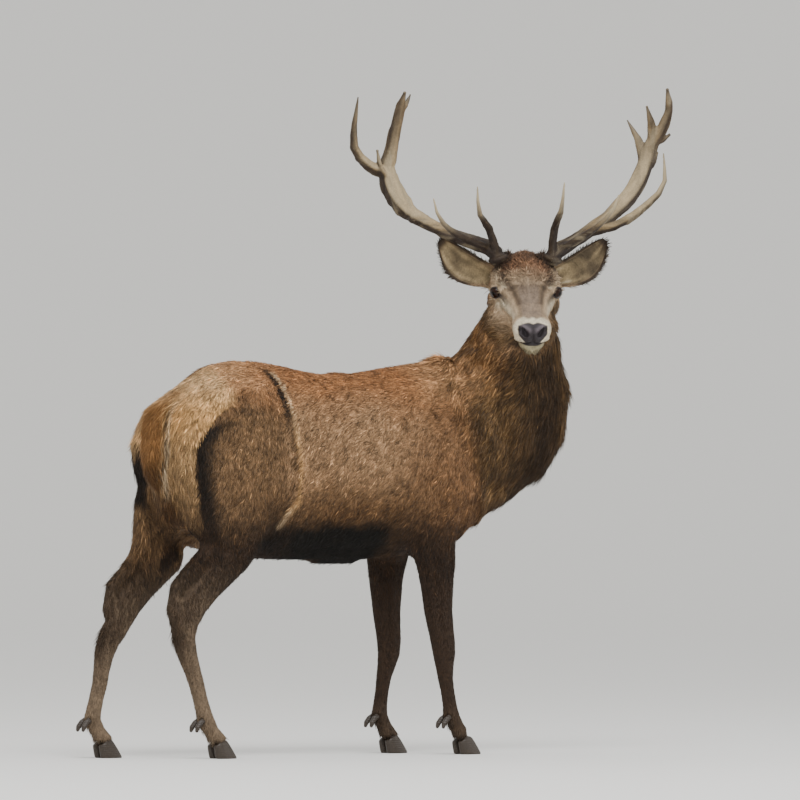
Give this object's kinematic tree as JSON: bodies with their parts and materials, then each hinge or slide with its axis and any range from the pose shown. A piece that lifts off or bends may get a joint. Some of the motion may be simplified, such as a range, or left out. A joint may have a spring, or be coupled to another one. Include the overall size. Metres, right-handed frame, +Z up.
{
  "type": "red deer stag",
  "caption": "Life-size red deer stag standing on its four hooves, with its antlered head turned back over its right shoulder.",
  "frame": {"origin": "on the floor, under the middle of the whole bounding box", "axes": "+X towards the chest, +Y to the animal's left, +Z up"},
  "size_m": [1.983, 0.6496, 2.1551],
  "materials": {
    "coat_body": "short dense hair",
    "coat_neck": "long shaggy mane",
    "coat_face": "very short hair",
    "coat_leg": "short sleek hair",
    "coat_tail": "short dense hair",
    "nose": "moist and finely grained",
    "eye": "wet gloss",
    "horn": "worn satin",
    "antler": "grooved satin bone"
  },
  "bodies": {
    "root": {"trunk": "coat_body", "neck": "coat_neck", "ear_right": "coat_face", "ear_left": "coat_face", "head": "coat_face", "nose": "nose", "tail": "coat_tail", "foreleg_right": "coat_leg", "hindleg_right": "coat_leg", "foreleg_left": "coat_leg", "hindleg_left": "coat_leg", "eye_right": "eye", "eye_left": "eye", "hoof_foreleg_right_outer": "horn", "dewclaw_foreleg_right_outer": "horn", "hoof_foreleg_right_inner": "horn", "dewclaw_foreleg_right_inner": "horn", "hoof_hindleg_right_outer": "horn", "dewclaw_hindleg_right_outer": "horn", "hoof_hindleg_right_inner": "horn", "dewclaw_hindleg_right_inner": "horn", "hoof_foreleg_left_inner": "horn", "dewclaw_foreleg_left_inner": "horn", "hoof_foreleg_left_outer": "horn", "dewclaw_foreleg_left_outer": "horn", "hoof_hindleg_left_inner": "horn", "dewclaw_hindleg_left_inner": "horn", "hoof_hindleg_left_outer": "horn", "dewclaw_hindleg_left_outer": "horn", "antler_right_beam_lower": "antler", "antler_right_beam_upper": "antler", "antler_right_crown": "antler", "antler_right_crown_fork": "antler", "antler_right_crown_prong": "antler", "antler_right_brow_tine": "antler", "antler_right_bez_tine": "antler", "antler_right_trez_tine": "antler", "antler_left_beam_lower": "antler", "antler_left_beam_upper": "antler", "antler_left_crown": "antler", "antler_left_crown_front": "antler", "antler_left_crown_back": "antler", "antler_left_crown_spur": "antler", "antler_left_crown_prong": "antler", "antler_left_brow_tine": "antler", "antler_left_bez_tine": "antler", "antler_left_trez_tine": "antler"}
  },
  "joints": []
}
